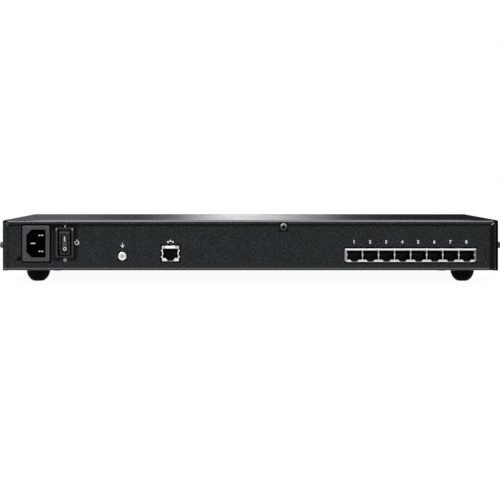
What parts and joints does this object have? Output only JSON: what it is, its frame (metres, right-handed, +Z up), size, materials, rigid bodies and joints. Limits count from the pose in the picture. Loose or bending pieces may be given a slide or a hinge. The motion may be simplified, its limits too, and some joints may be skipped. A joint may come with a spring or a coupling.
{
  "type": "kvm switch",
  "caption": "Flat rack-height kvm switch: folded steel case on rubber feet with mains inlet, rocker switch, earth screw, network socket and a row of port sockets.",
  "frame": {"origin": "on the floor under the middle of the case", "axes": "+X along the width, to the right seen from the rear; -Y out of the rear panel; +Z up"},
  "size_m": [0.438, 0.1684, 0.0545],
  "materials": {
    "powder_coat": "fine textured powder coat",
    "front_plastic": "fine grain moulded plastic",
    "black_screw": "blackened steel",
    "plated_steel": "zinc plated",
    "nickel": "bright nickel plate",
    "tinned_sheet": "tinned sheet",
    "rubber": "matt rubber",
    "inlet_plastic": "satin moulded plastic",
    "switch_plastic": "polished moulded plastic",
    "black_plastic": "moulded plastic",
    "gold_contact": "gold plated spring bronze",
    "board": "solder resist over glass laminate",
    "brass_standoff": "nickel plated brass",
    "black_aluminium": "black anodised",
    "plain_aluminium": "plain extruded",
    "can_sleeve": "sleeved can",
    "ferrite": "ferrite with taped winding",
    "pale_plastic": "moulded plastic",
    "ribbon": "soft insulation",
    "lead_brown": "soft insulation",
    "lead_green": "soft insulation",
    "lead_red": "soft insulation",
    "button_plastic": "moulded plastic",
    "led": "clear moulding",
    "light_pipe": "clear moulding",
    "video_plastic": "moulded plastic",
    "usb_plastic": "moulded plastic",
    "white_ink": "screen printed ink"
  },
  "bodies": {
    "case": {"chassis_tray": "powder_coat", "top_cover": "powder_coat", "front_panel": "front_plastic", "cover_side_screws": "black_screw", "cover_rear_screw": "black_screw", "front_panel_screws": "plated_steel", "rubber_feet": "rubber", "foot_screws": "plated_steel", "rack_ear_nuts": "plated_steel", "mains_inlet": "inlet_plastic", "inlet_pins": "nickel", "inlet_screws": "black_screw", "inlet_nuts": "plated_steel", "switch_housing": "switch_plastic", "switch_terminals": "nickel", "earth_screw": "nickel", "earth_nuts": "plated_steel", "lan_shield": "tinned_sheet", "lan_insert": "black_plastic", "lan_contacts": "gold_contact", "port_shield": "tinned_sheet", "port_insert": "black_plastic", "port_contacts": "gold_contact", "main_board": "board", "board_standoffs": "brass_standoff", "board_screws": "plated_steel", "processor": "black_plastic", "processor_heat_sink": "black_aluminium", "port_chips": "black_plastic", "board_capacitors": "can_sleeve", "pin_headers": "pale_plastic", "psu_board": "board", "psu_transformer": "ferrite", "psu_capacitors": "can_sleeve", "psu_heat_sinks": "plain_aluminium", "mains_filter": "pale_plastic", "mains_leads": "lead_brown", "earth_lead": "lead_green", "dc_leads": "lead_red", "push_on_connectors": "nickel", "ribbon_cable": "ribbon", "front_board": "board", "button_switches": "black_plastic", "indicator_leds": "led", "light_pipes": "light_pipe", "video_shell": "plated_steel", "video_insert": "video_plastic", "video_jack_screws": "plated_steel", "usb_shells": "plated_steel", "usb_tongues": "usb_plastic"},
    "power_rocker": {"power_rocker": "switch_plastic"},
    "port_button_1": {"port_button_1": "button_plastic"},
    "port_button_2": {"port_button_2": "button_plastic"},
    "port_button_3": {"port_button_3": "button_plastic"},
    "port_button_4": {"port_button_4": "button_plastic"},
    "port_button_5": {"port_button_5": "button_plastic"},
    "port_button_6": {"port_button_6": "button_plastic"},
    "port_button_7": {"port_button_7": "button_plastic"},
    "port_button_8": {"port_button_8": "button_plastic"}
  },
  "joints": [
    {"name": "power_rocker_pivot", "type": "hinge", "parent": "case", "child": "power_rocker", "pos_m": [-0.1616, -0.0768, 0.0349], "axis": [-1, 0, 0], "range_deg": [0, 18]},
    {"name": "port_button_1_press", "type": "slide", "parent": "case", "child": "port_button_1", "axis": [0, -1, 0], "range_m": [0, 0.001], "stiffness_N_per_m": 800, "springref_m": -0.0004},
    {"name": "port_button_2_press", "type": "slide", "parent": "case", "child": "port_button_2", "axis": [0, -1, 0], "range_m": [0, 0.001], "stiffness_N_per_m": 800, "springref_m": -0.0004},
    {"name": "port_button_3_press", "type": "slide", "parent": "case", "child": "port_button_3", "axis": [0, -1, 0], "range_m": [0, 0.001], "stiffness_N_per_m": 800, "springref_m": -0.0004},
    {"name": "port_button_4_press", "type": "slide", "parent": "case", "child": "port_button_4", "axis": [0, -1, 0], "range_m": [0, 0.001], "stiffness_N_per_m": 800, "springref_m": -0.0004},
    {"name": "port_button_5_press", "type": "slide", "parent": "case", "child": "port_button_5", "axis": [0, -1, 0], "range_m": [0, 0.001], "stiffness_N_per_m": 800, "springref_m": -0.0004},
    {"name": "port_button_6_press", "type": "slide", "parent": "case", "child": "port_button_6", "axis": [0, -1, 0], "range_m": [0, 0.001], "stiffness_N_per_m": 800, "springref_m": -0.0004},
    {"name": "port_button_7_press", "type": "slide", "parent": "case", "child": "port_button_7", "axis": [0, -1, 0], "range_m": [0, 0.001], "stiffness_N_per_m": 800, "springref_m": -0.0004},
    {"name": "port_button_8_press", "type": "slide", "parent": "case", "child": "port_button_8", "axis": [0, -1, 0], "range_m": [0, 0.001], "stiffness_N_per_m": 800, "springref_m": -0.0004}
  ]
}
